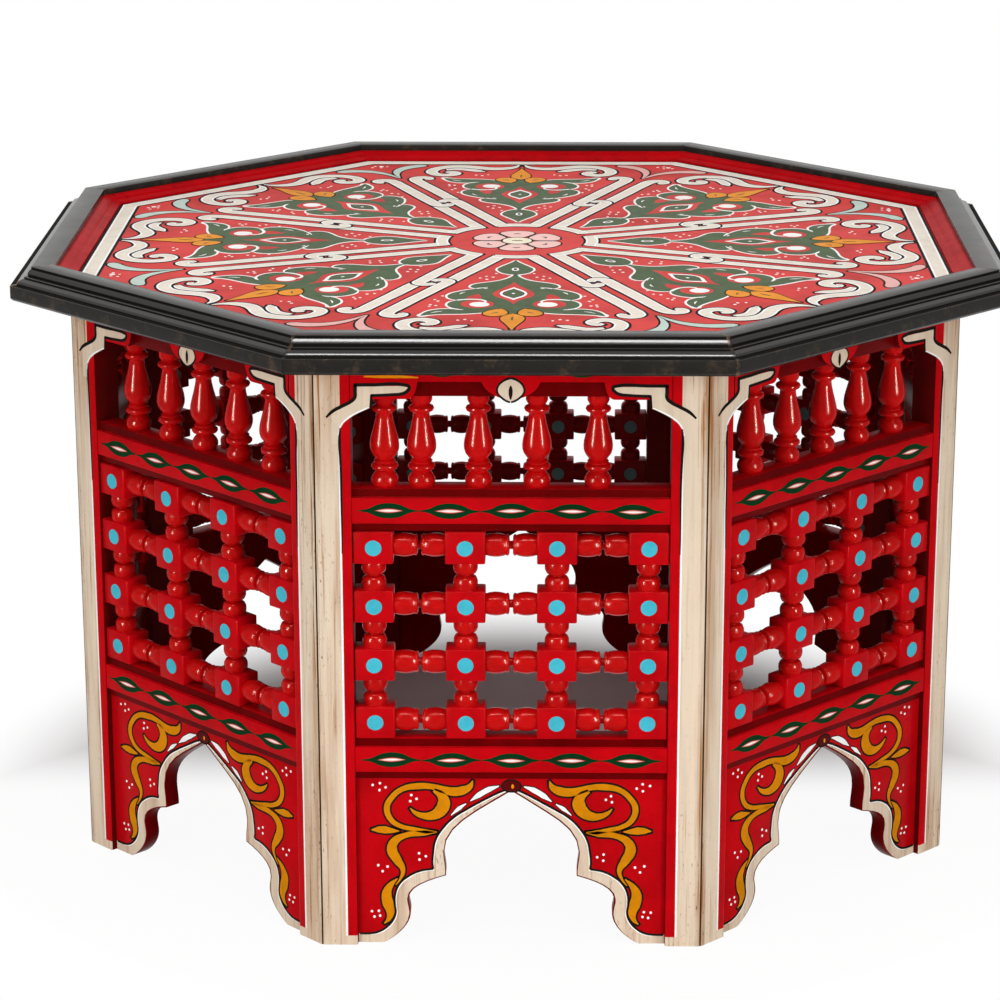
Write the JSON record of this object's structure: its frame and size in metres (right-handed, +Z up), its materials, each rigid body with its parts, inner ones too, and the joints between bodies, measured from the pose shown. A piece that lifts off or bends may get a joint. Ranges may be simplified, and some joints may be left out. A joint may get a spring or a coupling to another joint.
{
  "type": "mashrabiya coffee table",
  "caption": "Octagonal wooden coffee table with turned lattice screens and baluster galleries between stiles, arched aprons as feet, and a painted top inside a moulded rim",
  "frame": {"origin": "on the floor, on the table's upright axis, midway between the feet", "axes": "+Z up; the front side faces -Y; +X runs to the right as the front is looked at"},
  "size_m": [0.7502, 0.7502, 0.4643],
  "materials": {
    "cream_paint": "satin antiqued paint",
    "red_lacquer": "gloss lacquer",
    "rose_paint": "satin painted ornament",
    "black_lacquer": "satin lacquer"
  },
  "bodies": {
    "root": {"front_stile_left": "cream_paint", "front_stile_right": "cream_paint", "front_apron": "red_lacquer", "front_lattice": "red_lacquer", "front_baluster_gallery": "red_lacquer", "front_top_rail": "red_lacquer", "front_rim_moulding": "black_lacquer", "front_right_stile_left": "cream_paint", "front_right_stile_right": "cream_paint", "front_right_apron": "red_lacquer", "front_right_lattice": "red_lacquer", "front_right_baluster_gallery": "red_lacquer", "front_right_top_rail": "red_lacquer", "front_right_rim_moulding": "black_lacquer", "right_stile_left": "cream_paint", "right_stile_right": "cream_paint", "right_apron": "red_lacquer", "right_lattice": "red_lacquer", "right_baluster_gallery": "red_lacquer", "right_top_rail": "red_lacquer", "right_rim_moulding": "black_lacquer", "back_right_stile_left": "cream_paint", "back_right_stile_right": "cream_paint", "back_right_apron": "red_lacquer", "back_right_lattice": "red_lacquer", "back_right_baluster_gallery": "red_lacquer", "back_right_top_rail": "red_lacquer", "back_right_rim_moulding": "black_lacquer", "back_stile_left": "cream_paint", "back_stile_right": "cream_paint", "back_apron": "red_lacquer", "back_lattice": "red_lacquer", "back_baluster_gallery": "red_lacquer", "back_top_rail": "red_lacquer", "back_rim_moulding": "black_lacquer", "back_left_stile_left": "cream_paint", "back_left_stile_right": "cream_paint", "back_left_apron": "red_lacquer", "back_left_lattice": "red_lacquer", "back_left_baluster_gallery": "red_lacquer", "back_left_top_rail": "red_lacquer", "back_left_rim_moulding": "black_lacquer", "left_stile_left": "cream_paint", "left_stile_right": "cream_paint", "left_apron": "red_lacquer", "left_lattice": "red_lacquer", "left_baluster_gallery": "red_lacquer", "left_top_rail": "red_lacquer", "left_rim_moulding": "black_lacquer", "front_left_stile_left": "cream_paint", "front_left_stile_right": "cream_paint", "front_left_apron": "red_lacquer", "front_left_lattice": "red_lacquer", "front_left_baluster_gallery": "red_lacquer", "front_left_top_rail": "red_lacquer", "front_left_rim_moulding": "black_lacquer", "top_panel": "rose_paint"}
  },
  "joints": []
}
